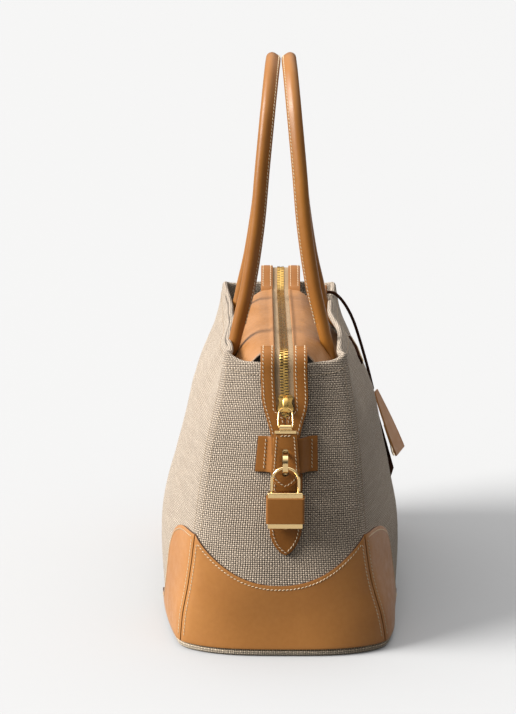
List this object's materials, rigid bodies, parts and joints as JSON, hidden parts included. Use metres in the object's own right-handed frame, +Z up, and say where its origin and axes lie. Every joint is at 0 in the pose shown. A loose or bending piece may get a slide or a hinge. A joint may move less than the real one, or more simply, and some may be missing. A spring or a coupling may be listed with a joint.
{
  "type": "doctor bag",
  "caption": "Top-handle doctor bag of canvas with leather corners, a recessed zip top over both ends, rolled handles, a padlock on the zip pull and a leather tag on a lace.",
  "frame": {"origin": "on the ground below the middle of the bag, on the underside of the base", "axes": "+Z up, X along the bag with the zip closed towards -X, front with the tag and plate faces -Y"},
  "size_m": [0.4228, 0.2357, 0.4938],
  "materials": {
    "linen_canvas": "coarse natural linen canvas",
    "tan_leather": "smooth vegetable-tanned leather with cream stitching",
    "dark_leather": "dark brown leather",
    "zip_tape": "woven tape",
    "gold_metal": "polished pale gold plating",
    "lining_cloth": "plain cotton lining",
    "stiff_board": "matte stiffener board",
    "cord_core": "twisted cotton cord inside the handles"
  },
  "bodies": {
    "bag": {"canvas_front": "linen_canvas", "canvas_back": "linen_canvas", "canvas_left_end": "linen_canvas", "canvas_right_end": "linen_canvas", "canvas_base": "linen_canvas", "base_piping": "linen_canvas", "rim_facing": "linen_canvas", "base_board": "stiff_board", "lining_walls": "lining_cloth", "lining_floor": "lining_cloth", "patch_left_end": "tan_leather", "patch_left_front": "tan_leather", "patch_left_back": "tan_leather", "patch_right_end": "tan_leather", "patch_right_front": "tan_leather", "patch_right_back": "tan_leather", "closure_skirt_front": "tan_leather", "closure_skirt_back": "tan_leather", "zip_drop_left_front": "zip_tape", "zip_drop_left_back": "zip_tape", "zip_drop_right_front": "zip_tape", "zip_drop_right_back": "zip_tape", "zip_strip_left_front": "tan_leather", "zip_strip_left_back": "tan_leather", "zip_strip_right_front": "tan_leather", "zip_strip_right_back": "tan_leather", "keeper_left": "tan_leather", "keeper_right": "tan_leather", "end_tab_left": "tan_leather", "end_tab_right": "tan_leather", "front_plate": "gold_metal", "handle_front_root_left": "tan_leather", "handle_front_root_right": "tan_leather", "handle_back_root_left": "tan_leather", "handle_back_root_right": "tan_leather", "tag_loop": "tan_leather"},
    "handle_front": {"handle_front_cover": "tan_leather", "handle_front_core": "cord_core"},
    "handle_back": {"handle_back_cover": "tan_leather", "handle_back_core": "cord_core"},
    "flap_front": {"closure_flap_front": "tan_leather", "zip_tape_front": "zip_tape", "zip_chain_front": "gold_metal"},
    "flap_back": {"closure_flap_back": "tan_leather", "zip_tape_back": "zip_tape", "zip_chain_back": "gold_metal"},
    "slider": {"zip_slider": "gold_metal"},
    "ring": {"pull_ring": "gold_metal"},
    "pull": {"pull_cap": "gold_metal", "pull_tab": "tan_leather", "lock_staple": "gold_metal"},
    "shackle": {"padlock_shackle": "gold_metal"},
    "lock": {"padlock_body": "gold_metal", "padlock_sleeve": "tan_leather", "padlock_cylinder": "gold_metal"},
    "lace": {"tag_lace": "dark_leather"},
    "tag": {"tag_leaf_outer": "tan_leather", "tag_leaf_inner": "dark_leather", "padlock_key": "gold_metal"}
  },
  "joints": [
    {"name": "handle_front_swing", "type": "hinge", "parent": "bag", "child": "handle_front", "pos_m": [0, -0.0475, 0.2475], "axis": [1, 0, 0], "range_deg": [0, 90]},
    {"name": "handle_back_swing", "type": "hinge", "parent": "bag", "child": "handle_back", "pos_m": [0, 0.0475, 0.2475], "axis": [-1, 0, 0], "range_deg": [0, 90]},
    {"name": "flap_front_open", "type": "hinge", "parent": "bag", "child": "flap_front", "pos_m": [0, -0.0285, 0.2528], "axis": [1, 0, 0], "range_deg": [0, 60]},
    {"name": "flap_back_open", "type": "hinge", "parent": "bag", "child": "flap_back", "pos_m": [0, 0.0285, 0.2528], "axis": [-1, 0, 0], "range_deg": [0, 60]},
    {"name": "slider_slide", "type": "slide", "parent": "bag", "child": "slider", "axis": [0.1118, 0, 0.9937], "range_m": [0, 0.014]},
    {"name": "ring_swing", "type": "hinge", "parent": "slider", "child": "ring", "pos_m": [-0.1992, 0, 0.216], "axis": [0, 1, 0], "range_deg": [0, 90]},
    {"name": "pull_swing", "type": "hinge", "parent": "ring", "child": "pull", "pos_m": [-0.2072, 0, 0.201], "axis": [0, 1, 0], "range_deg": [0, 60]},
    {"name": "padlock_swing", "type": "hinge", "parent": "pull", "child": "shackle", "pos_m": [-0.2134, 0, 0.1658], "axis": [0, 1, 0], "range_deg": [0, 60]},
    {"name": "padlock_slide", "type": "slide", "parent": "shackle", "child": "lock", "axis": [0, 0, -1], "range_m": [0, 0.005]},
    {"name": "lace_swing", "type": "hinge", "parent": "bag", "child": "lace", "pos_m": [0.1075, -0.0438, 0.255], "axis": [-1, 0, 0], "range_deg": [0, 45]},
    {"name": "tag_swing", "type": "hinge", "parent": "lace", "child": "tag", "pos_m": [0.1075, -0.0905, 0.159], "axis": [-1, 0, 0], "range_deg": [0, 30]}
  ]
}
